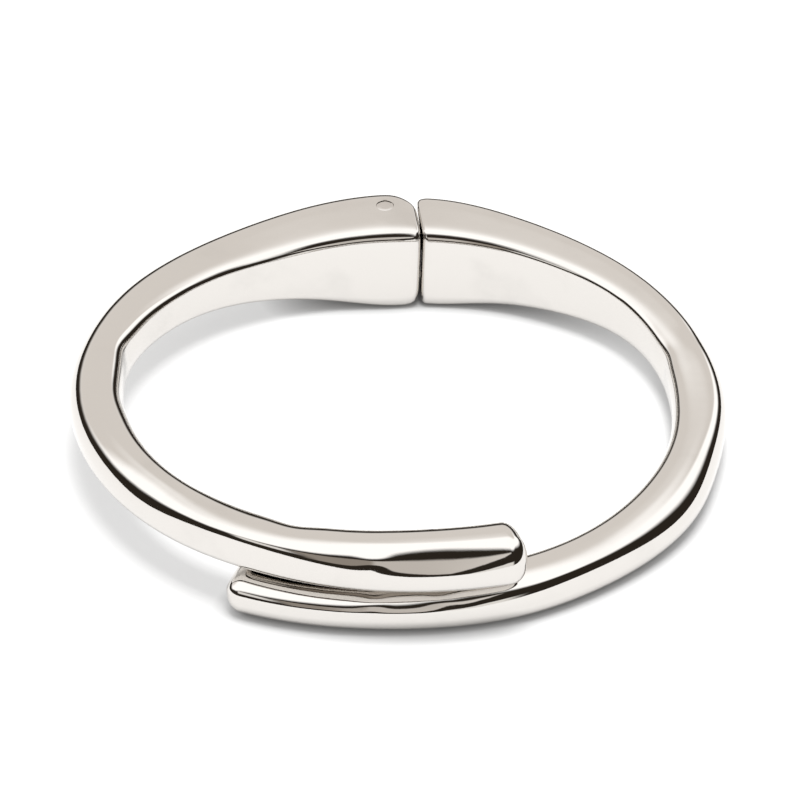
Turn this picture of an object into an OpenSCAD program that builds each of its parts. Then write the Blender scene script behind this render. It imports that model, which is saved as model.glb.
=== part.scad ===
// Hinged bypass bangle: two cast arms joined by a sprung knuckle hinge at the back,
// whose free ends pass one above the other at the front.
// Frame: millimetres, +X right, +Y towards the hinge, +Z up, origin at the bottom centre.

/* [Arms] */
// Number of sides of an arm's cross-section
sides = 24; // [16:2:32]
// Rings of the surface between two stations
rings = 3; // [2:1:5]
// Gap between the two end faces at the hinge
seam_gap = 0.12; // [0.08:0.02:0.3]
// Radius on the edges of the free ends
tip_radius = 1.9; // [1:0.1:2.2]

/* [Hinge] */
// Radius on the left arm's outer corner, which the right arm swings round
knuckle_r = 3.1; // [3.0:0.1:3.2]
// Distance from the left arm's end face to the pin's axis
pin_reach = 3.25; // [3.2:0.05:3.4]
// Distance from the left arm's outer side to the pin's axis
pin_depth = 2.9; // [2.8:0.05:3]
// Radius of the tongue's eye
eye_r = 3; // [2.8:0.1:3]
// Diameter of the hinge pin
pin_d = 1.9; // [1.6:0.1:2]
// Radial play between the pin and what turns on it
pin_play = 0.05; // [0.02:0.01:0.08]
// Angle at which the hinge's heel stops the opening arm, in degrees
opening = 62; // [50:1:65]
// Thickness of the hinge tongue
tongue_t = 2.6; // [2.2:0.1:2.8]
// How deep the tongue's shank sits in the right arm
shank_l = 8; // [6:0.5:9]
// Diameter of the two dowels that hold the shank
dowel_d = 1.5; // [1:0.1:1.6]

/* [Spring] */
// Diameter of the spring wire
wire_d = 0.5; // [0.4:0.05:0.55]
// Turns of the spring's coil, a quarter turn past a whole number
turns = 3.25; // [2.25:1:3.25]

/* [Hidden] */
$fn = 64;
cut = 1;            // how far a cutting shape runs past the surface it cuts

silver = [0.84, 0.82, 0.79];
steel = [0.62, 0.63, 0.65];

// The arms' centre lines are drawn round a pole that lies straight in front of the hinge.
pole = [2.1, -0.1];

// Stations along each arm, from the hinge to the free end:
// [angle from the hinge, radius and height of the crest line's foot,
//  reach of the section: inward, outward, up, down,
//  corner powers: outer top, inner top, bottom, and slope of the top towards the wrist]
left_stations = [
    [0, 27.6, 5.0, 3.7, 4.0, 4.9, 5.0, 6.0, 7.0, 7.0, 0.05],
    [7, 27.6, 5.2, 4.1, 4.6, 5.2, 5.3, 5.0, 7.0, 9.0, 0.06],
    [20, 28.9, 5.1, 4.1, 4.4, 4.6, 4.4, 4.0, 7.0, 6.0, 0.05],
    [34, 30.0, 5.5, 3.9, 3.8, 3.4, 3.3, 3.4, 7.0, 5.0, 0.04],
    [48, 31.2, 5.9, 3.2, 3.1, 2.9, 2.8, 3.4, 6.0, 3.6, 0.02],
    [62, 32.2, 6.3, 2.8, 3.0, 2.7, 2.6, 3.4, 4.0, 3.0, 0.0],
    [76, 33.0, 6.7, 2.4, 2.5, 2.8, 2.8, 2.8, 3.0, 3.0, 0.0],
    [90, 33.4, 7.0, 2.8, 2.9, 2.7, 2.8, 2.2, 2.8, 3.0, 0.0],
    [104, 33.2, 7.2, 2.9, 2.7, 2.7, 2.7, 2.0, 2.8, 3.0, 0.0],
    [118, 32.6, 7.2, 2.5, 2.5, 2.8, 2.5, 1.7, 3.0, 3.0, 0.0],
    [132, 31.8, 7.3, 2.4, 2.4, 2.7, 2.4, 1.4, 3.0, 3.0, 0.0],
    [146, 30.8, 7.5, 3.4, 2.5, 2.6, 2.3, 4.5, 1.6, 3.0, 0.0],
    [160, 30.0, 7.4, 3.0, 2.5, 2.6, 2.2, 2.4, 2.8, 3.0, 0.0],
    [174, 30.1, 7.9, 3.7, 2.2, 2.7, 2.5, 1.4, 2.6, 3.0, -0.07],
    [187, 29.9, 8.1, 3.7, 2.3, 2.6, 2.7, 1.2, 2.6, 3.0, -0.09],
    [200, 30.2, 8.1, 3.8, 2.2, 2.5, 2.7, 1.8, 2.6, 3.0, -0.07]
];
right_stations = [
    [0, 27.6, 5.0, 3.7, 4.0, 4.9, 5.0, 6.0, 7.0, 7.0, 0.05],
    [7, 27.6, 5.05, 3.7, 4.1, 4.8, 5.1, 5.0, 7.0, 9.0, 0.06],
    [20, 27.7, 5.0, 3.3, 3.5, 4.3, 4.3, 3.6, 8.0, 6.0, 0.05],
    [34, 27.9, 5.0, 3.2, 2.9, 3.8, 3.6, 3.4, 8.0, 5.0, 0.04],
    [48, 28.3, 4.9, 2.6, 2.7, 3.4, 3.1, 3.4, 7.0, 3.6, 0.02],
    [62, 28.6, 4.7, 2.4, 2.6, 3.1, 2.8, 3.2, 4.0, 3.0, 0.0],
    [76, 28.9, 4.2, 2.6, 2.7, 3.0, 3.0, 2.8, 3.0, 3.0, 0.0],
    [90, 29.0, 3.7, 2.9, 3.0, 2.8, 2.8, 2.8, 3.0, 3.0, 0.0],
    [104, 28.9, 3.4, 2.6, 2.5, 2.7, 2.6, 2.0, 3.0, 3.0, 0.0],
    [118, 29.1, 3.0, 3.1, 2.9, 2.7, 2.5, 1.6, 3.0, 3.0, 0.0],
    [132, 28.8, 2.7, 3.0, 2.6, 2.5, 2.5, 1.8, 3.0, 3.0, 0.0],
    [146, 28.5, 2.5, 2.8, 2.5, 2.4, 2.4, 3.0, 3.0, 3.0, 0.0],
    [160, 28.7, 2.5, 3.1, 2.6, 2.4, 2.4, 2.2, 3.0, 3.0, 0.0],
    [174, 28.8, 2.9, 2.7, 2.6, 2.0, 2.8, 1.6, 3.0, 3.0, 0.0],
    [187, 29.2, 3.0, 2.7, 2.6, 1.7, 2.9, 1.5, 3.0, 3.0, -0.12],
    [200, 30.2, 2.8, 2.6, 2.6, 1.7, 2.7, 2.2, 3.0, 3.0, -0.2],
    [216, 31.9, 2.6, 2.6, 2.6, 1.9, 2.5, 2.6, 3.0, 3.0, -0.2]
];

// Dents left by the hand-worked casting:
// [place along the arm in stations, angle round the section, depth, length in stations, width in degrees]
left_dents = [
    [6.3, 150, 0.30, 0.30, 30],
    [7.5, 160, 0.20, 0.35, 30],
    [11.6, 150, 0.30, 0.30, 40],
    [12.85, 42, -0.14, 0.2, 18]
];
right_dents = [
    [5.7, 65, 0.14, 0.30, 25],
    [5.9, 150, 0.20, 0.25, 30],
    [13.2, 38, -0.10, 0.2, 20],
    [14.15, 38, -0.14, 0.2, 20]
];

// The seam leans by these amounts sideways: for each mm towards the wrist, and for each mm up.
seam_slant = 0.13;
seam_tilt = 0.03;
seam_middle = 26.2;

// Edge radii of each end: [inner side, outer side, top, bottom]
left_hinge_edge = [0.8, knuckle_r, 0.5, 1.6];
right_hinge_edge = [0.8, 1.3, 0.5, 0.9];
tip_edge = [tip_radius, tip_radius, tip_radius, tip_radius];

// Pin axis, and the levels of the hinge's pieces above the base
end_face = left_stations[0];
pin_y = pole[1] + end_face[1] + end_face[4] - pin_depth;
pin = [pole[0] + (seam_middle - pin_y) * seam_slant - seam_gap / 2 - pin_reach, pin_y];
pin_r = pin_d / 2;
pin_bottom = 0.1;
pin_top = 10.15;
end_play = 0.05;
washer_t = 0.3;
slot_bottom = 3.7;
tongue_bottom = slot_bottom + end_play;
tongue_top = tongue_bottom + tongue_t;
slot_top = tongue_top + washer_t + end_play;

// The tongue: an eye on the pin, a shank in the right arm, and a heel that stops it
shank_low = -2.9;   // sides of the shank, measured across it from the pin
shank_high = 0.9;
slot_play = 0.15;
heel_r = 3.9;
heel_from = 153;    // directions of the heel's two sides at rest, in degrees
heel_to = 177;
shank_start = pin_reach + seam_gap;
shank_end = shank_start + shank_l;
dowel_x = [shank_start + shank_l * 0.3, shank_start + shank_l * 0.75];
dowel_y = (shank_low + shank_high) / 2;
dowel_bottom = 0.6;
dowel_top = 8.2;

// The torsion spring: a coil round the pin, below the tongue
coil_r = 1.55;
coil_pitch = wire_d + 0.02;
coil_play = 0.3;
coil_bottom = slot_bottom - turns * coil_pitch - wire_d;
spring_room = coil_bottom - 0.05;
leg_l = 3;          // length of the leg that bears on the left arm
leg_rise = 1.2;     // how far the other leg stands up into the tongue
wire_sides = 8;
steps_per_turn = 20;

// ---- Arms ----

// Uniform cubic B-spline between stations b and c
function spline(a, b, c, d, t) =
    ((1 - t) ^ 3 * a + (3 * t ^ 3 - 6 * t ^ 2 + 4) * b
     + (-3 * t ^ 3 + 3 * t ^ 2 + 3 * t + 1) * c + t ^ 3 * d) / 6;

// The arm's values at u, which counts stations. Both ends of the curve are held.
function station(rows, u) =
    let (
        last = len(rows) - 1,
        k = max(0, min(floor(u), last - 1)),
        before = k > 0 ? rows[k - 1] : 2 * rows[0] - rows[1],
        after = k < last - 1 ? rows[k + 2] : 2 * rows[last] - rows[last - 1]
    )
    spline(before, rows[k], rows[k + 1], after, u - k);

// Point of the centre line in plan. hand is -1 on the left and 1 on the right.
function centre(rows, hand, u) =
    let (s = station(rows, u))
    pole + s[1] * [hand * sin(s[0]), cos(s[0])];

function unit(v) = v / norm(v);

// Outward direction in plan, square to the centre line
function outward(rows, hand, u) =
    let (
        last = len(rows) - 1,
        ahead = centre(rows, hand, min(u + 0.01, last)),
        behind = centre(rows, hand, max(u - 0.01, 0)),
        along = unit(ahead - behind)
    )
    hand * [-along[1], along[0]];

// How much an end's rounded edge takes off at distance d from the end face
function trim(edge, d) = d >= edge ? 0 : edge - sqrt(edge ^ 2 - (edge - d) ^ 2);

// How deep the surface is pressed in at u and at an angle round the section
function dent_depth(dents, u, angle) =
    [
        for (d = dents)
            d[2] * exp(-((u - d[0]) / d[3]) ^ 2 - ((angle - d[1]) / d[4]) ^ 2)
    ] * [for (d = dents) 1];

// How far the surface moves sideways near the seam, which has a gap and isn't square to the arms
function seam_shift(hand, u, y, z) =
    let (lean = (seam_middle - y) * seam_slant + (z - 5) * seam_tilt)
    (hand * seam_gap / 2 + lean) * max(0, 1 - u / 2) ^ 2;

// One ring of points, trimmed on its [inner side, outer side, top, bottom]
function ring(rows, dents, hand, u, cuts) =
    let (
        s = station(rows, u),
        out = outward(rows, hand, u),
        foot = centre(rows, hand, u),
        reach = [for (i = [0:3]) s[3 + i] - cuts[i]]
    )
    [
        for (i = [0:sides - 1])
        let (
            a = 360 * (i + 0.5) / sides,
            power = sin(a) < 0 ? s[9] : cos(a) > 0 ? s[7] : s[8],
            size = (abs(cos(a)) ^ power + abs(sin(a)) ^ power) ^ (1 / power),
            dent = dent_depth(dents, u, a),
            across = cos(a) * ((cos(a) > 0 ? reach[1] : reach[0]) / size - dent),
            flat = sin(a) * ((sin(a) > 0 ? reach[2] : reach[3]) / size - dent),
            high = flat > 0 ? flat * (1 + s[10] * across / reach[2]) : flat,
            p = foot + out * across,
            z = s[2] + high
        )
        [p[0] + seam_shift(hand, u, p[1], z), p[1], z]
    ];

// Distances from an end face at which its rounded edge gets a ring
function edge_steps(edges) = [for (i = [0:6]) max(edges) * (1 - cos(15 * i))];

// Centre-line length of one station step at an end
function step_length(rows, hand, a, b) = norm(centre(rows, hand, b) - centre(rows, hand, a));

// All rings of one arm, from the hinge's end face to the free end's
function arm_rings(rows, dents, hand, hinge_edge) =
    let (
        last = len(rows) - 1,
        first_step = step_length(rows, hand, 0, 0.5) * 2,
        last_step = step_length(rows, hand, last - 0.5, last) * 2,
        hinge_reach = max(hinge_edge) / first_step,
        tip_reach = max(tip_edge) / last_step
    )
    [
        for (d = edge_steps(hinge_edge))
            ring(rows, dents, hand, d / first_step, [for (e = hinge_edge) trim(e, d)]),
        for (i = [1:last * rings - 1])
            let (u = i / rings)
            if (u > hinge_reach + 0.1 && u < last - tip_reach - 0.1)
                ring(rows, dents, hand, u, [0, 0, 0, 0]),
        for (i = [6:-1:0])
            let (d = edge_steps(tip_edge)[i])
            ring(rows, dents, hand, last - d / last_step, [for (e = tip_edge) trim(e, d)])
    ];

// Closed skin over a list of rings. flip turns its faces the other way out.
module skin(loops, flip) {
    n = len(loops[0]);
    last = len(loops) - 1;
    walls = [
        for (k = [0:last - 1], i = [0:n - 1])
            let (j = (i + 1) % n)
            each [
                [k * n + i, (k + 1) * n + i, (k + 1) * n + j],
                [k * n + i, (k + 1) * n + j, k * n + j]
            ]
    ];
    ends = [
        [for (i = [0:n - 1]) i],
        [for (i = [n - 1:-1:0]) last * n + i]
    ];
    faces = concat(walls, ends);
    polyhedron(
        points = [for (loop = loops) each loop],
        faces = flip ? [for (f = faces) [for (i = [len(f) - 1:-1:0]) f[i]]] : faces,
        convexity = 10
    );
}

module at_pin(z) {
    translate([pin[0], pin[1], z])
        children();
}

// Room in the left arm for the tongue's eye, its shank and the sweep of its heel
module tongue_slot() {
    at_pin(slot_bottom)
        linear_extrude(slot_top - slot_bottom) {
            circle(r = eye_r + slot_play);
            translate([0, shank_low - slot_play])
                square([pin_reach + cut, slot_play - shank_low]);
            translate([-eye_r / 3, 0])
                square([eye_r / 3 + pin_reach + cut, pin_reach + cut]);
            sector(heel_r + slot_play, heel_from - 2, heel_to + opening + 0.5);
        }
}

// Room in the left arm for the spring's coil and for the leg that bears on the arm
module spring_slot() {
    room_r = coil_r + wire_d / 2 + coil_play;
    at_pin(spring_room)
        linear_extrude(slot_bottom + cut / 2 - spring_room) {
            circle(r = room_r);
            translate([0, -room_r])
                square([pin_reach + cut, room_r * 2]);
        }
    at_pin(spring_room)
        translate([-leg_l - 0.2, -coil_r - wire_d * 0.6, 0])
            cube([leg_l + 0.2, wire_d * 1.2, wire_d * 1.8]);
}

// Sector of a disc between two directions
module sector(r, from, to) {
    reach = r * 2;
    intersection() {
        circle(r = r);
        polygon([
            [0, 0],
            for (i = [0:4])
                let (a = from + (to - from) * i / 4)
                reach * [cos(a), sin(a)]
        ]);
    }
}

module left_arm() {
    color(silver)
        difference() {
            skin(arm_rings(left_stations, left_dents, -1, left_hinge_edge), true);
            tongue_slot();
            spring_slot();
            at_pin(-cut)
                cylinder(r = pin_r, h = pin_top + cut * 2);
        }
}

module right_arm() {
    color(silver)
        difference() {
            skin(arm_rings(right_stations, right_dents, 1, right_hinge_edge), false);
            at_pin(tongue_bottom)
                translate([0, shank_low, 0])
                    cube([shank_end + 0.1, shank_high - shank_low, tongue_t]);
            for (x = dowel_x)
                at_pin(-cut)
                    translate([x, dowel_y, 0])
                        cylinder(d = dowel_d, h = dowel_top + cut);
        }
}

// ---- Hinge ----

module hinge_tongue() {
    color(steel)
        difference() {
            at_pin(tongue_bottom)
                linear_extrude(tongue_t) {
                    circle(r = eye_r);
                    translate([0, shank_low])
                        square([shank_end, shank_high - shank_low]);
                    sector(heel_r, heel_from, heel_to);
                }
            at_pin(0)
                cylinder(r = pin_r + pin_play, h = slot_top);
            at_pin(tongue_bottom - cut)
                translate([coil_r, 0, 0])
                    cylinder(r = wire_d / 2 + 0.03, h = cut + leg_rise);
            for (x = dowel_x)
                at_pin(0)
                    translate([x, dowel_y, 0])
                        cylinder(d = dowel_d, h = slot_top);
        }
}

module tongue_dowels() {
    color(steel)
        for (x = dowel_x)
            at_pin(dowel_bottom)
                translate([x, dowel_y, 0])
                    cylinder(d = dowel_d, h = dowel_top - dowel_bottom);
}

module hinge_pin() {
    color(steel)
        at_pin(pin_bottom)
            cylinder(r = pin_r, h = pin_top - pin_bottom);
}

module thrust_washer() {
    color(steel)
        at_pin(tongue_top)
            difference() {
                cylinder(r = eye_r - 0.4, h = washer_t);
                translate([0, 0, -cut])
                    cylinder(r = pin_r + pin_play, h = washer_t + cut * 2);
            }
}

// Path of the spring's wire: straight leg, coil, then a leg that stands up
coil_start = coil_bottom + wire_d / 2;
coil_points = round(turns * steps_per_turn);
wire_path = concat(
    [for (x = [-leg_l, -leg_l / 2]) [x, -coil_r, coil_start]],
    [
        for (i = [0:coil_points])
        let (a = 360 * i / steps_per_turn)
        [coil_r * sin(a), -coil_r * cos(a), coil_start + coil_pitch * a / 360]
    ],
    [
        for (rise = [0.35, 0.7, 1])
        [coil_r, 0, coil_start + turns * coil_pitch + rise * (leg_rise + wire_d / 2)]
    ]
);

// Direction of the wire at point i of its path
function wire_along(i) =
    unit(wire_path[min(i + 1, len(wire_path) - 1)] - wire_path[max(i - 1, 0)]);

// One ring of the wire, with its first side turned towards or away from the coil's axis
function wire_ring(i) =
    let (
        p = wire_path[i],
        along = wire_along(i),
        in_coil = i > 1 && i < len(wire_path) - 3,
        rough = i <= 1 ? [0, -1, 0] : in_coil ? [p[0], p[1], 0] : [1, 0, 0],
        across = unit(rough - along * (rough * along)),
        up = cross(along, across)
    )
    [
        for (k = [0:wire_sides - 1])
        let (a = 360 * k / wire_sides)
        p + wire_d / 2 * (across * cos(a) + up * sin(a))
    ];

module closing_spring() {
    color(steel)
        at_pin(0)
            skin([for (i = [0:len(wire_path) - 1]) wire_ring(i)], false);
}

left_arm();
right_arm();
hinge_tongue();
tongue_dowels();
hinge_pin();
thrust_washer();
closing_spring();
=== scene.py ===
"""Polished silver bypass bangle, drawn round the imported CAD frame."""
from math import cos, exp, floor, radians, sin, sqrt

import bmesh
import bpy
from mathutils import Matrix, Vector


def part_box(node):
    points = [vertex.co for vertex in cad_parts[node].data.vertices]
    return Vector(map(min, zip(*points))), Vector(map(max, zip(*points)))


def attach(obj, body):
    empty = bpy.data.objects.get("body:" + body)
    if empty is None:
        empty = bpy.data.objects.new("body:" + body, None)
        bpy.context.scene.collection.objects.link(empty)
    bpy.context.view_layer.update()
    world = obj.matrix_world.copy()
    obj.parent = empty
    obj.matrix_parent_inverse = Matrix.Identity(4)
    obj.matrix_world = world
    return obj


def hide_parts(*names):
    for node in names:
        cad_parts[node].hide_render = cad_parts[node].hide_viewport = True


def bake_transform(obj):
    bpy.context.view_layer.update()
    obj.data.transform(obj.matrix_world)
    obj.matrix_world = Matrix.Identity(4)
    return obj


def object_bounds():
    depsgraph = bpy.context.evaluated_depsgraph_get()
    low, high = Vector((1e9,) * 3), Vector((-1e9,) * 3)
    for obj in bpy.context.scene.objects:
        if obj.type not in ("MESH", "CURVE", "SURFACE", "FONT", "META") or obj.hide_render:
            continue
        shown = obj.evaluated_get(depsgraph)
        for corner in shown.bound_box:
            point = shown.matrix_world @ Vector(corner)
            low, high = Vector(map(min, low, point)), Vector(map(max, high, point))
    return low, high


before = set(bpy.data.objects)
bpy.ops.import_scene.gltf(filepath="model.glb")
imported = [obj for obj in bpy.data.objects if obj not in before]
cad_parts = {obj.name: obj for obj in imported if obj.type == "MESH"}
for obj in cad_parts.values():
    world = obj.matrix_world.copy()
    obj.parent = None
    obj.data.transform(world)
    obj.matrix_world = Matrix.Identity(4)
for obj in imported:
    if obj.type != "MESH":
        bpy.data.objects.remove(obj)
cad_low, cad_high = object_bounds()

MM = 0.001

# ---- Shape of the arms, in millimetres, as in part.scad ----

POLE = Vector((2.1, -0.1))    # the point in plan that the stations' angles turn round

# Stations along each arm, from the hinge to the free end:
# [angle from the hinge, radius and height of the crest line's foot,
#  reach of the section: inward, outward, up, down,
#  corner powers: outer top, inner top, bottom, and slope of the top towards the wrist]
LEFT_STATIONS = [
    [0, 27.6, 5.0, 3.7, 4.0, 4.9, 5.0, 6.0, 7.0, 7.0, 0.05],
    [7, 27.6, 5.2, 4.1, 4.6, 5.2, 5.3, 5.0, 7.0, 9.0, 0.06],
    [20, 28.9, 5.1, 4.1, 4.4, 4.6, 4.4, 4.0, 7.0, 6.0, 0.05],
    [34, 30.0, 5.5, 3.9, 3.8, 3.4, 3.3, 3.4, 7.0, 5.0, 0.04],
    [48, 31.2, 5.9, 3.2, 3.1, 2.9, 2.8, 3.4, 6.0, 3.6, 0.02],
    [62, 32.2, 6.3, 2.8, 3.0, 2.7, 2.6, 3.4, 4.0, 3.0, 0.0],
    [76, 33.0, 6.7, 2.4, 2.5, 2.8, 2.8, 2.8, 3.0, 3.0, 0.0],
    [90, 33.4, 7.0, 2.8, 2.9, 2.7, 2.8, 2.2, 2.8, 3.0, 0.0],
    [104, 33.2, 7.2, 2.9, 2.7, 2.7, 2.7, 2.0, 2.8, 3.0, 0.0],
    [118, 32.6, 7.2, 2.5, 2.5, 2.8, 2.5, 1.7, 3.0, 3.0, 0.0],
    [132, 31.8, 7.3, 2.4, 2.4, 2.7, 2.4, 1.4, 3.0, 3.0, 0.0],
    [146, 30.8, 7.5, 3.4, 2.5, 2.6, 2.3, 4.5, 1.6, 3.0, 0.0],
    [160, 30.0, 7.4, 3.0, 2.5, 2.6, 2.2, 2.4, 2.8, 3.0, 0.0],
    [174, 30.1, 7.9, 3.7, 2.2, 2.7, 2.5, 1.4, 2.6, 3.0, -0.07],
    [187, 29.9, 8.1, 3.7, 2.3, 2.6, 2.7, 1.2, 2.6, 3.0, -0.09],
    [200, 30.2, 8.1, 3.8, 2.2, 2.5, 2.7, 1.8, 2.6, 3.0, -0.07],
]
RIGHT_STATIONS = [
    [0, 27.6, 5.0, 3.7, 4.0, 4.9, 5.0, 6.0, 7.0, 7.0, 0.05],
    [7, 27.6, 5.05, 3.7, 4.1, 4.8, 5.1, 5.0, 7.0, 9.0, 0.06],
    [20, 27.7, 5.0, 3.3, 3.5, 4.3, 4.3, 3.6, 8.0, 6.0, 0.05],
    [34, 27.9, 5.0, 3.2, 2.9, 3.8, 3.6, 3.4, 8.0, 5.0, 0.04],
    [48, 28.3, 4.9, 2.6, 2.7, 3.4, 3.1, 3.4, 7.0, 3.6, 0.02],
    [62, 28.6, 4.7, 2.4, 2.6, 3.1, 2.8, 3.2, 4.0, 3.0, 0.0],
    [76, 28.9, 4.2, 2.6, 2.7, 3.0, 3.0, 2.8, 3.0, 3.0, 0.0],
    [90, 29.0, 3.7, 2.9, 3.0, 2.8, 2.8, 2.8, 3.0, 3.0, 0.0],
    [104, 28.9, 3.4, 2.6, 2.5, 2.7, 2.6, 2.0, 3.0, 3.0, 0.0],
    [118, 29.1, 3.0, 3.1, 2.9, 2.7, 2.5, 1.6, 3.0, 3.0, 0.0],
    [132, 28.8, 2.7, 3.0, 2.6, 2.5, 2.5, 1.8, 3.0, 3.0, 0.0],
    [146, 28.5, 2.5, 2.8, 2.5, 2.4, 2.4, 3.0, 3.0, 3.0, 0.0],
    [160, 28.7, 2.5, 3.1, 2.6, 2.4, 2.4, 2.2, 3.0, 3.0, 0.0],
    [174, 28.8, 2.9, 2.7, 2.6, 2.0, 2.8, 1.6, 3.0, 3.0, 0.0],
    [187, 29.2, 3.0, 2.7, 2.6, 1.7, 2.9, 1.5, 3.0, 3.0, -0.12],
    [200, 30.2, 2.8, 2.6, 2.6, 1.7, 2.7, 2.2, 3.0, 3.0, -0.2],
    [216, 31.9, 2.6, 2.6, 2.6, 1.9, 2.5, 2.6, 3.0, 3.0, -0.2],
]

# Dents left by the hand-worked casting:
# [place along the arm in stations, angle round the section, depth, length in stations, width in degrees]
LEFT_DENTS = [
    [6.3, 150, 0.30, 0.30, 30],
    [7.5, 160, 0.20, 0.35, 30],
    [11.6, 150, 0.30, 0.30, 40],
    [12.85, 42, -0.14, 0.2, 18],
]
RIGHT_DENTS = [
    [5.7, 65, 0.14, 0.30, 25],
    [5.9, 150, 0.20, 0.25, 30],
    [13.2, 38, -0.10, 0.2, 20],
    [14.15, 38, -0.14, 0.2, 20],
]

KNUCKLE_R = 3.1      # the left arm's outer corner at the hinge, rounded to clear the right arm
SEAM_GAP = 0.12
# The seam leans by these amounts sideways: for each mm towards the wrist, and for each mm up.
SEAM_SLANT = 0.13
SEAM_TILT = 0.03
SEAM_MIDDLE = 26.2
# Edge radii of each end: [inner side, outer side, top, bottom]
LEFT_HINGE_EDGE = [0.8, KNUCKLE_R, 0.5, 1.6]
RIGHT_HINGE_EDGE = [0.8, 1.3, 0.5, 0.9]
TIP_EDGE = [1.9, 1.9, 1.9, 1.9]
# The flat filed along the inner top edge near the hinge: its depth, how far it is turned from
# the top, the station at which it has run out, and how crisp its two edges are
ARRIS_DEPTH = 0.05
ARRIS_TURN = 45.5
ARRIS_END = 4.5
ARRIS_CRISPNESS = 160

# ---- The hinge: the pin's axis and the levels of its pieces come from the CAD nodes ----

pin_low, pin_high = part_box("hinge_pin")
tongue_low, tongue_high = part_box("hinge_tongue")
washer_low, washer_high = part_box("thrust_washer")
PIN = (pin_low + pin_high) / 2 / MM
PIN_R = (pin_high.x - pin_low.x) / 2 / MM
PIN_FOOT = pin_low.z / MM
PIN_TOP = 10.17      # level of the filed top at the pin's axis
PIN_SLOPE = 0.055    # how much the filed top rises for each mm to the back, as the arm's top does
PIN_FIT = 0.008      # room round the pin in the left arm, so that the two surfaces don't share a place
TONGUE_BOTTOM = tongue_low.z / MM
TONGUE_TOP = tongue_high.z / MM
SHANK_END = tongue_high.x / MM - PIN.x
SLOT_BOTTOM = TONGUE_BOTTOM - 0.05
SLOT_TOP = washer_high.z / MM + 0.05
EYE_R = (washer_high.x - washer_low.x) / 2 / MM + 0.4
# Plan distances here are from the pin's axis.
MOUTH = 4.25         # how far the slot's mouth is cut towards the right arm
SHANK_SIDES = [-2.9, 0.9]
SLOT_PLAY = 0.15
HEEL_R = 3.9
HEEL_SWEEP = [151, 239.5]    # directions, in degrees, that the heel sweeps through with its play
DOWELS = [5.77, 9.37]        # along the shank
DOWEL_Y = -1.0
DOWEL_R = 0.75
DOWEL_HOLE_TOP = 8.2
# Levels clear of the bangle's underside and top, where holes that come out there start and end
BELOW = -1
ABOVE = 12
# The spring: a coil round the pin, a leg along the left arm and a leg up into the tongue
COIL_R = 1.55
COIL_TURNS = 3.25
COIL_PITCH = 0.52
COIL_PLAY = 0.3
WIRE_R = 0.25
LEG_ROOM = WIRE_R * 1.2      # half the width of the groove for the lower leg
LEG_GROOVE = 0.9             # the groove's height
INTO_SLOT = 0.5              # how far the spring's room is cut up into the tongue's slot
COIL_START = SLOT_BOTTOM - COIL_TURNS * COIL_PITCH - WIRE_R
SPRING_ROOM = COIL_START - WIRE_R - 0.05
SPRING_LEG = 3
SPRING_RISE = 1.2

SIDES = 160          # points round a section
CROWDING = 9.5       # how far, in degrees, the points are drawn towards the section's four corners
RINGS = 16           # rings between two stations
EDGE_STEPS = 12      # rings round an end's rounded edge
PIN_SIDES = 64
COIL_STEPS = 48      # rings of the spring in one turn of its coil
WIRE_SIDES = 16

# ---- Studio: what the polished metal mirrors ----

DARK = (0.03, 0.024, 0.018, 1)
SOFTBOX = (1.5, 1.5, 1.5, 1)
SOFTBOX_LEAN = 25    # how far the soft box leans to the back, in degrees
SOFTBOX_REACH = 55   # from its middle to its edge, in degrees
SOFTBOX_BLUR = 6     # half the width of its soft edge, in degrees
WALL = (0.90, 0.86, 0.82, 1)
# The card in front is darker on its left than in the middle, and lighter on its right.
CARD_LEFT = (0.36, 0.32, 0.28, 1)
CARD = (0.70, 0.66, 0.62, 1)
CARD_RIGHT = (0.92, 0.88, 0.84, 1)
PANEL = (1.0, 0.98, 0.95, 1)

LAMP_PLACE = (0.05, -0.04, 0.8)
LAMP_SIZE = 0.35
LAMP_ENERGY = 12.5

FLOOR_SIZE = 6
FLOOR_DROP = 0.00002       # how far the floor is below the bangle, so that they don't share a place
FLOOR_GLOW = 0.54          # the floor's painted glow near the bangle, which fills its shadows
FAR_GLOW = 0.26            # painted glow added far away, where the lamp no longer reaches
CONTACT_REACH = 0.0022     # how near the bangle has to be for the painted contact shadow to darken the glow

# The camera looks at the bangle's middle with a long lens.
TARGET = Vector((0.0001, 0.0033, 0.003))
VIEW_ELEVATION = radians(37)
VIEW_DISTANCE = 0.475
SENSOR_WIDTH = 36
LENS = 204.6


def station(rows, u):
    """The arm's values at u, which counts stations, on a uniform cubic B-spline."""
    last = len(rows) - 1
    k = max(0, min(floor(u), last - 1))
    t = u - k
    b, c = rows[k], rows[k + 1]
    a = rows[k - 1] if k > 0 else [2 * p - q for p, q in zip(b, c)]
    d = rows[k + 2] if k < last - 1 else [2 * q - p for p, q in zip(b, c)]
    weights = [
        (1 - t) ** 3 / 6,
        (3 * t**3 - 6 * t**2 + 4) / 6,
        (-3 * t**3 + 3 * t**2 + 3 * t + 1) / 6,
        t**3 / 6,
    ]
    return [sum(w * v for w, v in zip(weights, column)) for column in zip(a, b, c, d)]


def centre(rows, hand, u):
    """Point of the centre line in plan. hand is -1 on the left and 1 on the right."""
    s = station(rows, u)
    a = radians(s[0])
    return POLE + s[1] * Vector((hand * sin(a), cos(a)))


def outward(rows, hand, u):
    """Outward direction in plan, square to the centre line."""
    last = len(rows) - 1
    along = centre(rows, hand, min(u + 0.01, last)) - centre(rows, hand, max(u - 0.01, 0))
    along.normalize()
    return hand * Vector((-along.y, along.x))


def trim(edge, d):
    """How much an end's rounded edge takes off at distance d from the end face."""
    return 0 if d >= edge else edge - sqrt(edge**2 - (edge - d) ** 2)


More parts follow.
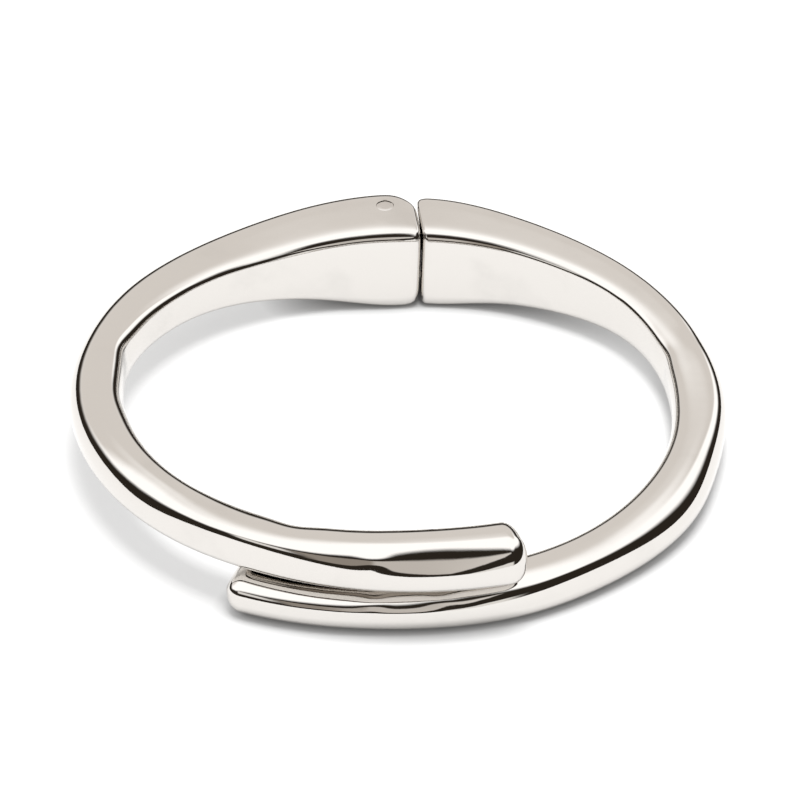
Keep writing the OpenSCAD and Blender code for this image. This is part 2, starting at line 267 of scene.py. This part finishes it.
def dent_depth(hand, u, angle):
    """How deep the surface is pressed in at u and at an angle round the section."""
    return sum(
        depth * exp(-((u - place) / length) ** 2 - ((angle - side) / width) ** 2)
        for place, side, depth, length, width in (LEFT_DENTS if hand < 0 else RIGHT_DENTS)
    )


def seam_shift(hand, u, y, z):
    """How far the surface moves sideways near the seam, which has a gap and isn't square to the arms."""
    lean = (SEAM_MIDDLE - y) * SEAM_SLANT + (z - 5) * SEAM_TILT
    return (hand * SEAM_GAP / 2 + lean) * max(0, 1 - u / 2) ** 2


def arris(across, high, power, inward, up, u):
    """How much of the reach is left where a narrow flat is filed along the inner top edge near the hinge."""
    depth = ARRIS_DEPTH * min(1, max(0, ARRIS_END - u))
    side, top = sin(radians(ARRIS_TURN)), cos(radians(ARRIS_TURN))
    q = power / (power - 1)
    flat = ((inward * side) ** q + (up * top) ** q) ** (1 / q) - depth
    reach = across * side + high * top
    if depth == 0 or reach < flat * 0.9:
        return 1
    return (1 + (reach / flat) ** ARRIS_CRISPNESS) ** (-1 / ARRIS_CRISPNESS)


def ring(rows, hand, u, cuts):
    """One ring of points, trimmed on its [inner side, outer side, top, bottom]."""
    s = station(rows, u)
    out = outward(rows, hand, u)
    foot = centre(rows, hand, u)
    inward, outwards, up, down = (reach - cut for reach, cut in zip(s[3:7], cuts))
    points = []
    for i in range(SIDES):
        even = 360 * (i + 0.5) / SIDES
        angle = even + CROWDING * sin(radians(4 * even))
        a = radians(angle)
        power = s[9] if sin(a) < 0 else s[7] if cos(a) > 0 else s[8]
        size = (abs(cos(a)) ** power + abs(sin(a)) ** power) ** (1 / power)
        dent = dent_depth(hand, u, angle)
        across = cos(a) / size * (outwards if cos(a) > 0 else inward) - dent * cos(a)
        high = sin(a) / size * (up if sin(a) > 0 else down) - dent * sin(a)
        if high > 0 and across < 0:
            kept = arris(-across, high, s[8], inward, up, u)
            across *= kept
            high *= kept
        if high > 0:
            high += s[10] * across * high / up
        p = foot + out * across
        z = s[2] + high
        points.append(Vector((p.x + seam_shift(hand, u, p.y, z), p.y, z)) * MM)
    return points


def edge_steps(edges):
    """Distances from an end face at which its rounded edge gets a ring."""
    turn = 90 / EDGE_STEPS
    return [max(edges) * (1 - cos(radians(turn * i))) for i in range(EDGE_STEPS + 1)]


def arm_rings(rows, hand, hinge_edge):
    """All rings of one arm, from the hinge's end face to the free end's."""
    last = len(rows) - 1
    first_step = (centre(rows, hand, 0.5) - centre(rows, hand, 0)).length * 2
    last_step = (centre(rows, hand, last) - centre(rows, hand, last - 0.5)).length * 2
    hinge_reach = max(hinge_edge) / first_step
    tip_reach = max(TIP_EDGE) / last_step
    rings = []
    for d in edge_steps(hinge_edge):
        rings.append(ring(rows, hand, d / first_step, [trim(e, d) for e in hinge_edge]))
    for i in range(1, last * RINGS):
        u = i / RINGS
        if hinge_reach + 0.05 < u < last - tip_reach - 0.05:
            rings.append(ring(rows, hand, u, [0, 0, 0, 0]))
    for d in reversed(edge_steps(TIP_EDGE)):
        rings.append(ring(rows, hand, last - d / last_step, [trim(e, d) for e in TIP_EDGE]))
    return rings


def new_piece(name, verts, faces):
    """A smooth mesh object with its faces turned outwards."""
    mesh = bpy.data.meshes.new(name)
    mesh.from_pydata(verts, [], faces)
    bm = bmesh.new()
    bm.from_mesh(mesh)
    bmesh.ops.recalc_face_normals(bm, faces=bm.faces)
    bm.to_mesh(mesh)
    bm.free()
    mesh.shade_smooth()
    obj = bpy.data.objects.new(name, mesh)
    bpy.context.scene.collection.objects.link(obj)
    return obj


def loft(name, rings):
    """A closed mesh over a list of rings with the same number of points."""
    n = len(rings[0])
    faces = []
    for k in range(len(rings) - 1):
        for i in range(n):
            j = (i + 1) % n
            faces.append((k * n + i, (k + 1) * n + i, (k + 1) * n + j, k * n + j))
    faces.append(tuple(range(n)))
    faces.append(tuple((len(rings) - 1) * n + i for i in reversed(range(n))))
    return new_piece(name, [p for loop in rings for p in loop], faces)


# ---- Rooms cut in the arms for the hinge ----

def arc(radius, start=0, end=360, x=0, y=0):
    """Points in plan along an arc round (x, y), in mm from the pin's axis."""
    turn = end - start
    count = max(4, round(turn / 3))
    last = count if turn == 360 else count - 1
    angles = [radians(start + turn * i / last) for i in range(count)]
    return [(x + radius * cos(a), y + radius * sin(a)) for a in angles]


def box_outline(x0, y0, x1, y1):
    """Corners of a rectangle in plan, in mm from the pin's axis."""
    return [(x0, y0), (x1, y0), (x1, y1), (x0, y1)]


def at_pin(x, y, z):
    """A point in metres, from its place in mm in plan from the pin's axis, and its level in mm."""
    return Vector((PIN.x + x, PIN.y + y, z)) * MM


def prism(outline, bottom, top):
    """A prism over an outline in plan, in mm from the pin's axis, between two levels."""
    return loft("cutter", [[at_pin(x, y, z) for x, y in outline] for z in (bottom, top)])


def carve(piece, cutters):
    """Cuts the cutters out of a piece, and removes them."""
    for cutter in cutters:
        cut = piece.modifiers.new("cut", "BOOLEAN")
        cut.operation = "DIFFERENCE"
        cut.solver = "EXACT"
        cut.object = cutter
    bpy.context.view_layer.update()
    shape = bpy.data.meshes.new_from_object(piece.evaluated_get(bpy.context.evaluated_depsgraph_get()))
    piece.modifiers.clear()
    piece.data = shape
    for cutter in cutters:
        bpy.data.objects.remove(cutter)
    shape.shade_smooth()
    shape.set_sharp_from_angle(angle=radians(35))


def left_rooms():
    """Room for the tongue's eye, shank and heel, for the spring, its leg, and the pin."""
    coil_room = COIL_R + WIRE_R + COIL_PLAY
    leg_edge = COIL_R + LEG_ROOM
    eye = arc(EYE_R + SLOT_PLAY)
    heel = [(0, 0)] + arc(HEEL_R + SLOT_PLAY, *HEEL_SWEEP)
    shank = box_outline(0, SHANK_SIDES[0] - SLOT_PLAY, MOUTH, 0.1)
    shank_sweep = box_outline(-EYE_R / 3, 0, MOUTH, MOUTH)
    coil_mouth = box_outline(0, -coil_room, MOUTH, coil_room)
    leg = box_outline(-SPRING_LEG - 0.2, -leg_edge, 0, LEG_ROOM * 2 - leg_edge)
    return [
        *(prism(outline, SLOT_BOTTOM, SLOT_TOP) for outline in (eye, shank, shank_sweep, heel)),
        prism(arc(coil_room), SPRING_ROOM, SLOT_BOTTOM + INTO_SLOT),
        prism(coil_mouth, SPRING_ROOM, SLOT_BOTTOM + INTO_SLOT),
        prism(leg, SPRING_ROOM, SPRING_ROOM + LEG_GROOVE),
        prism(arc(PIN_R + PIN_FIT), BELOW, ABOVE),
    ]


def right_rooms():
    """The pocket for the tongue's shank, and the holes for its dowels."""
    pocket = box_outline(0, SHANK_SIDES[0], SHANK_END + 0.1, SHANK_SIDES[1])
    holes = [prism(arc(DOWEL_R, x=x, y=DOWEL_Y), BELOW, DOWEL_HOLE_TOP) for x in DOWELS]
    return [prism(pocket, TONGUE_BOTTOM, TONGUE_TOP)] + holes


def turns(count):
    """Angles of points spread evenly round a circle."""
    return [radians(360 * k / count) for k in range(count)]


def riveted_pin():
    """The hinge pin, driven through the left arm and filed flush with its sloping top."""
    # Shares of the pin's radius, with the height above its foot or the drop below its top
    foot = [(0.55, 0), (0.92, 0.02), (1, 0.09)]
    head = [(1, 0.03), (0.99, 0.01), (0.97, 0), (0.5, -0.005)]
    rings = []
    for share, height in foot:
        circle = [(share * PIN_R * cos(a), share * PIN_R * sin(a)) for a in turns(PIN_SIDES)]
        rings.append([at_pin(x, y, PIN_FOOT + height) for x, y in circle])
    for share, drop in head:
        circle = [(share * PIN_R * cos(a), share * PIN_R * sin(a)) for a in turns(PIN_SIDES)]
        rings.append([at_pin(x, y, PIN_TOP - drop + PIN_SLOPE * y) for x, y in circle])
    return loft("hinge_pin_filed", rings)


def spring_path():
    """The spring's centre line, in mm from the pin's axis: its lower leg, its coil and its upper leg."""
    path = [Vector((-SPRING_LEG * share, -COIL_R, COIL_START)) for share in (1, 0.75, 0.5, 0.25)]
    for i in range(round(COIL_TURNS * COIL_STEPS) + 1):
        turn = i / COIL_STEPS
        a = radians(360 * turn)
        path.append(Vector((COIL_R * sin(a), -COIL_R * cos(a), COIL_START + COIL_PITCH * turn)))
    top = COIL_START + COIL_TURNS * COIL_PITCH
    path += [Vector((COIL_R, 0, top + share * (SPRING_RISE + WIRE_R))) for share in (0.3, 0.6, 0.9, 1)]
    return path


def spring_wire():
    """The torsion spring: round wire along its path, a little narrower at its two cut ends."""
    path = spring_path()
    last = len(path) - 1
    rings = []
    for i, p in enumerate(path):
        along = (path[min(i + 1, last)] - path[max(i - 1, 0)]).normalized()
        if i < 4:
            rough = Vector((0, -1, 0))
        elif i < last - 3:
            rough = Vector((p.x, p.y, 0))
        else:
            rough = Vector((1, 0, 0))
        side = (rough - along * rough.dot(along)).normalized()
        up = along.cross(side)
        radius = WIRE_R * (0.8 if i in (0, last) else 1)
        middle = Vector((PIN.x, PIN.y, 0)) + p
        rings.append([(middle + radius * (side * cos(a) + up * sin(a))) * MM for a in turns(WIRE_SIDES)])
    return loft("closing_spring_wire", rings)


# ---- Shader nodes ----

def add_node(tree, kind, **settings):
    """A new node with its properties set, and its inputs set or linked by name or number."""
    node = tree.nodes.new(kind)
    inputs = settings.pop("inputs", {})
    for key, value in settings.items():
        setattr(node, key, value)
    for key, value in inputs.items():
        if isinstance(value, bpy.types.NodeSocket):
            tree.links.new(value, node.inputs[key])
        else:
            node.inputs[key].default_value = value
    return node


def maths(tree, operation, a, b=0.0):
    """The result of one Math node."""
    return add_node(tree, "ShaderNodeMath", operation=operation, inputs={0: a, 1: b}).outputs[0]


def multiply(tree, first, *others):
    """The product of several values."""
    product = first
    for value in others:
        product = maths(tree, "MULTIPLY", product, value)
    return product


def rise(tree, value, low, high):
    """0 at low and 1 at high, with a smooth step between them, whichever of the two is larger."""
    node = add_node(
        tree, "ShaderNodeMapRange", interpolation_type="SMOOTHSTEP", clamp=True,
        inputs={"Value": value, "From Min": low, "From Max": high},
    )
    return node.outputs["Result"]


def mix_colour(tree, amount, a, b):
    """Colour a where amount is 0, and b where it is 1."""
    node = add_node(tree, "ShaderNodeMix", data_type="RGBA", inputs={0: amount, 6: a, 7: b})
    return node.outputs[2]


# ---- Materials ----

def new_material(name, colour, metallic, roughness):
    """A node material with its constant values set on the shader's own sockets."""
    mat = bpy.data.materials.new(name)
    mat.use_nodes = True
    shader = mat.node_tree.nodes["Principled BSDF"]
    shader.inputs["Base Color"].default_value = (*colour, 1)
    shader.inputs["Metallic"].default_value = metallic
    shader.inputs["Roughness"].default_value = roughness
    return mat


def metal(name):
    """A metal with its shader, its node tree, and its place in metres."""
    mat = new_material(name, (0.5, 0.5, 0.5), 1.0, 0.2)
    tree = mat.node_tree
    return mat, tree, tree.nodes["Principled BSDF"], add_node(tree, "ShaderNodeTexCoord").outputs["Object"]


def relief(tree, shader, height, distance):
    """Links a height to the shader's normal."""
    bump = add_node(tree, "ShaderNodeBump", inputs={"Strength": 1.0, "Distance": distance, "Height": height})
    tree.links.new(bump.outputs["Normal"], shader.inputs["Normal"])


def polished(name, colour, scratches=1.0, waviness=1.0):
    """Hand-polished cast metal: soft waves, polishing lines, pin-prick pits and a faint film in patches."""
    mat, tree, shader, place = metal(name)
    film = add_node(tree, "ShaderNodeTexNoise", inputs={"Vector": place, "Scale": 130, "Detail": 4})
    patch = rise(tree, film.outputs["Fac"], 0.52, 0.78)
    dull = tuple(0.93 * value for value in colour)
    tree.links.new(mix_colour(tree, patch, (*colour, 1), (*dull, 1)), shader.inputs["Base Color"])

    swirl = add_node(
        tree, "ShaderNodeTexNoise",
        inputs={"Vector": place, "Scale": 2600, "Detail": 5, "Roughness": 0.7, "Distortion": 2.5},
    )
    haze = multiply(tree, patch, 0.05)
    gloss = maths(tree, "ADD", multiply(tree, swirl.outputs["Fac"], 0.05 * scratches), haze)
    tree.links.new(maths(tree, "ADD", gloss, 0.02), shader.inputs["Roughness"])

    wave = add_node(tree, "ShaderNodeTexNoise", inputs={"Vector": place, "Scale": 240, "Detail": 2})
    hairline = add_node(
        tree, "ShaderNodeTexWave", bands_direction="DIAGONAL",
        inputs={"Vector": place, "Scale": 900, "Distortion": 28, "Detail": 3, "Detail Scale": 0.6},
    )
    pits = add_node(tree, "ShaderNodeTexVoronoi", inputs={"Vector": place, "Scale": 900})
    pit = multiply(tree, rise(tree, pits.outputs["Distance"], 0.10, 0.03), -0.1)
    height = multiply(tree, wave.outputs["Fac"], 6.0 * waviness)
    height = maths(tree, "ADD", height, multiply(tree, hairline.outputs["Fac"], 0.06 * scratches))
    relief(tree, shader, maths(tree, "ADD", height, pit), 0.000003)
    return mat


def machined(name, colour, roughness, axis):
    """Turned or ground steel and brass: fine tool lines across one axis, with dark oil in the low spots."""
    mat, tree, shader, place = metal(name)
    stretch = [40.0, 40.0, 40.0]
    stretch[axis] = 1600.0
    run = add_node(tree, "ShaderNodeMapping", inputs={"Vector": place, "Scale": stretch})
    lines = add_node(
        tree, "ShaderNodeTexNoise",
        inputs={"Vector": run.outputs[0], "Scale": 1.0, "Detail": 6, "Roughness": 0.65},
    )
    oil = add_node(tree, "ShaderNodeTexNoise", inputs={"Vector": place, "Scale": 420, "Detail": 5})
    stain = rise(tree, oil.outputs["Fac"], 0.5, 0.72)
    dark = tuple(0.55 * value for value in colour)
    tree.links.new(mix_colour(tree, stain, (*colour, 1), (*dark, 1)), shader.inputs["Base Color"])
    rough = multiply(tree, lines.outputs["Fac"], 0.3)
    tree.links.new(maths(tree, "ADD", rough, roughness - 0.15), shader.inputs["Roughness"])
    relief(tree, shader, lines.outputs["Fac"], 0.00001)
    return mat


# ---- Studio ----

def window(tree, value, low, high, soft):
    """1 where value is between low and high, fading over soft on both sides."""
    return maths(
        tree, "MULTIPLY",
        rise(tree, value, low - soft, low + soft), rise(tree, value, high + soft, high - soft),
    )


def soft_box(tree, x, y, z):
    """1 in the directions of the soft box overhead, which reaches further down on the right."""
    lean = radians(SOFTBOX_LEAN)
    height = maths(tree, "ADD", multiply(tree, z, cos(lean)), multiply(tree, y, sin(lean)))
    spread = multiply(tree, x, maths(tree, "SUBTRACT", multiply(tree, x, 0.2), 0.1))
    height = maths(tree, "ADD", height, spread)
    right = multiply(tree, rise(tree, x, 0.15, 0.45), rise(tree, x, 0.72, 0.5))
    height = maths(tree, "ADD", height, multiply(tree, right, 0.12))
    outer = cos(radians(SOFTBOX_REACH + SOFTBOX_BLUR))
    inner = cos(radians(SOFTBOX_REACH - SOFTBOX_BLUR))
    left = multiply(tree, rise(tree, x, -0.3, -0.6), rise(tree, y, 0.2, -0.2))
    foot = maths(tree, "SUBTRACT", z, multiply(tree, left, 0.16))
    return multiply(tree, rise(tree, height, outer, inner), rise(tree, foot, 0.22, 0.38))


def back_wall(tree, x, y, z):
    """1 in the directions of the beige wall at the back, which goes on round the left and widens upwards."""
    side = maths(tree, "MAXIMUM", x, multiply(tree, x, -0.5))
    flare = multiply(tree, rise(tree, z, 0.3, 0.7), 0.16)
    across = rise(tree, maths(tree, "SUBTRACT", side, flare), 0.48, 0.34)
    height = multiply(tree, rise(tree, z, 0.17, 0.37), rise(tree, z, 0.95, 0.62))
    return multiply(tree, rise(tree, y, 0.2, 0.45), across, height)


def front_card(tree, x, y, z):
    """1 in the directions of the card in front, whose foot climbs to the right."""
    across = multiply(tree, rise(tree, y, -0.4, -0.6), window(tree, x, -0.42, 0.43, 0.04))
    climb = multiply(tree, maths(tree, "MAXIMUM", maths(tree, "SUBTRACT", x, 0.14), 0.0), 1.7)
    foot = rise(tree, maths(tree, "SUBTRACT", z, climb), 0.23, 0.29)
    return multiply(tree, across, foot, rise(tree, z, 0.71, 0.65))


def card_colour(tree, x):
    """The card's colour, from left to right."""
    colour = mix_colour(tree, rise(tree, x, -0.28, -0.08), CARD_LEFT, CARD)
    return mix_colour(tree, rise(tree, x, 0.0, 0.45), colour, CARD_RIGHT)


def low_reflector(tree, x, y, z):
    """1 in the directions of the white board that stands on the floor at the front right."""
    slope = multiply(tree, maths(tree, "SUBTRACT", x, 0.18), 1.1)
    top = maths(tree, "MINIMUM", slope, 0.24)
    height = rise(tree, maths(tree, "SUBTRACT", top, z), -0.02, 0.03)
    return multiply(tree, height, rise(tree, x, 0.62, 0.48), rise(tree, y, 0.2, 0.0))


def side_panel(tree, x, y, z):
    """1 in the directions of the small white panel at the front left."""
    across = multiply(tree, rise(tree, y, -0.3, -0.5), window(tree, x, -0.72, -0.45, 0.05))
    return multiply(tree, across, window(tree, z, 0.42, 0.64, 0.05))


def studio_world():
    """A dark room with a soft box, a wall, a card, a reflector and a panel. The camera sees it white."""
    made = bpy.data.worlds.new("studio")
    made.use_nodes = True
    tree = made.node_tree
    direction = add_node(tree, "ShaderNodeTexCoord").outputs["Generated"]
    x, y, z = add_node(tree, "ShaderNodeSeparateXYZ", inputs={0: direction}).outputs

    colour = mix_colour(tree, soft_box(tree, x, y, z), DARK, SOFTBOX)
    colour = mix_colour(tree, back_wall(tree, x, y, z), colour, WALL)
    colour = mix_colour(tree, front_card(tree, x, y, z), colour, card_colour(tree, x))
    colour = mix_colour(tree, low_reflector(tree, x, y, z), colour, PANEL)
    colour = mix_colour(tree, side_panel(tree, x, y, z), colour, PANEL)

    background = tree.nodes["Background"]
    tree.links.new(colour, background.inputs["Color"])
    background.inputs["Strength"].default_value = 1.0
    backdrop = add_node(tree, "ShaderNodeBackground", inputs={"Color": (1, 1, 1, 1), "Strength": 1.2})
    seen = add_node(tree, "ShaderNodeLightPath").outputs["Is Camera Ray"]
    mixed = add_node(
        tree, "ShaderNodeMixShader",
        inputs={0: seen, 1: background.outputs[0], 2: backdrop.outputs[0]},
    )
    tree.links.new(mixed.outputs[0], tree.nodes["World Output"].inputs["Surface"])
    return made


def white_floor():
    """A white floor with a faint painted glow, which a painted contact shadow takes away near the bangle."""
    bpy.ops.mesh.primitive_plane_add(size=FLOOR_SIZE, location=(0, 0, cad_low.z - FLOOR_DROP))
    plane = bpy.context.object
    plane.name = "studio_floor"
    white = new_material("floor_white", (0.27, 0.27, 0.27), 0, 0.8)
    tree = white.node_tree
    shader = tree.nodes["Principled BSDF"]
    shader.inputs["Specular IOR Level"].default_value = 0.0
    shader.inputs["Emission Color"].default_value = (1, 1, 1, 1)
    # Painted contact shadow: ambient occlusion darkens the floor's painted glow where the bangle is near.
    contact = add_node(tree, "ShaderNodeAmbientOcclusion", inputs={"Distance": CONTACT_REACH})
    place = add_node(tree, "ShaderNodeTexCoord").outputs["Object"]
    length = add_node(tree, "ShaderNodeVectorMath", operation="LENGTH", inputs={0: place})
    # Painted glow, added far from the bangle where the lamp no longer reaches.
    far = multiply(tree, rise(tree, length.outputs["Value"], 0.1, 0.6), FAR_GLOW)
    glow = multiply(tree, contact.outputs["AO"], maths(tree, "ADD", far, FLOOR_GLOW))
    tree.links.new(glow, shader.inputs["Emission Strength"])
    plane.data.materials.append(white)
    return plane


def overhead_light():
    """A soft light above, which metal doesn't mirror: the soft box that it mirrors is in the world."""
    lamp = bpy.data.lights.new("overhead", "AREA")
    lamp.size = LAMP_SIZE
    lamp.energy = LAMP_ENERGY
    obj = bpy.data.objects.new("overhead", lamp)
    bpy.context.scene.collection.objects.link(obj)
    obj.location = LAMP_PLACE
    obj.rotation_euler = Vector(LAMP_PLACE).to_track_quat("Z", "Y").to_euler()
    obj.visible_glossy = False


def long_lens_camera():
    """The camera, in front of the bangle and above it."""
    camera = bpy.data.objects.new("camera", bpy.data.cameras.new("camera"))
    bpy.context.scene.collection.objects.link(camera)
    towards_camera = Vector((0, -cos(VIEW_ELEVATION), sin(VIEW_ELEVATION)))
    camera.location = TARGET + towards_camera * VIEW_DISTANCE
    camera.rotation_euler = (-towards_camera).to_track_quat("-Z", "Y").to_euler()
    camera.data.sensor_width = SENSOR_WIDTH
    camera.data.lens = LENS
    camera.data.clip_start = 0.05
    return camera


# ---- Pieces ----

silver = polished("polished_silver", (0.70, 0.675, 0.645))
pin_metal = polished("pin_metal", (0.66, 0.63, 0.60), scratches=2.5, waviness=0.4)
hinge_steel = machined("hinge_steel", (0.45, 0.45, 0.46), 0.30, 1)
spring_steel = machined("spring_steel", (0.34, 0.34, 0.36), 0.26, 2)
washer_brass = machined("washer_brass", (0.62, 0.45, 0.20), 0.28, 0)

left_arm = loft("left_arm_polished", arm_rings(LEFT_STATIONS, -1, LEFT_HINGE_EDGE))
right_arm = loft("right_arm_polished", arm_rings(RIGHT_STATIONS, 1, RIGHT_HINGE_EDGE))
carve(left_arm, left_rooms())
carve(right_arm, right_rooms())
for piece, body in ((left_arm, "left"), (right_arm, "right")):
    piece.data.materials.append(silver)
    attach(piece, body)
    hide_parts(f"{body}_arm")

pin = riveted_pin()
pin.data.materials.append(pin_metal)
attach(pin, "left")
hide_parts("hinge_pin")

spring = spring_wire()
spring.data.materials.append(spring_steel)
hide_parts("closing_spring")
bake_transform(spring)

for node, material, width in (
    ("hinge_tongue", hinge_steel, 0.12),
    ("tongue_dowels", hinge_steel, 0.08),
    ("thrust_washer", washer_brass, 0.05),
):
    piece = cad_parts[node]
    for place in piece.material_slots:
        place.material = material
    edge = piece.modifiers.new("edges", "BEVEL")
    edge.width = width * MM
    edge.segments = 3
    edge.limit_method = "ANGLE"
    edge.angle_limit = radians(40)
    edge.harden_normals = True

# ---- Floor, light and camera ----

floor_plane = white_floor()
overhead_light()
bpy.context.scene.world = studio_world()
bpy.context.scene.view_settings.view_transform = "Standard"
bpy.context.scene.camera = long_lens_camera()
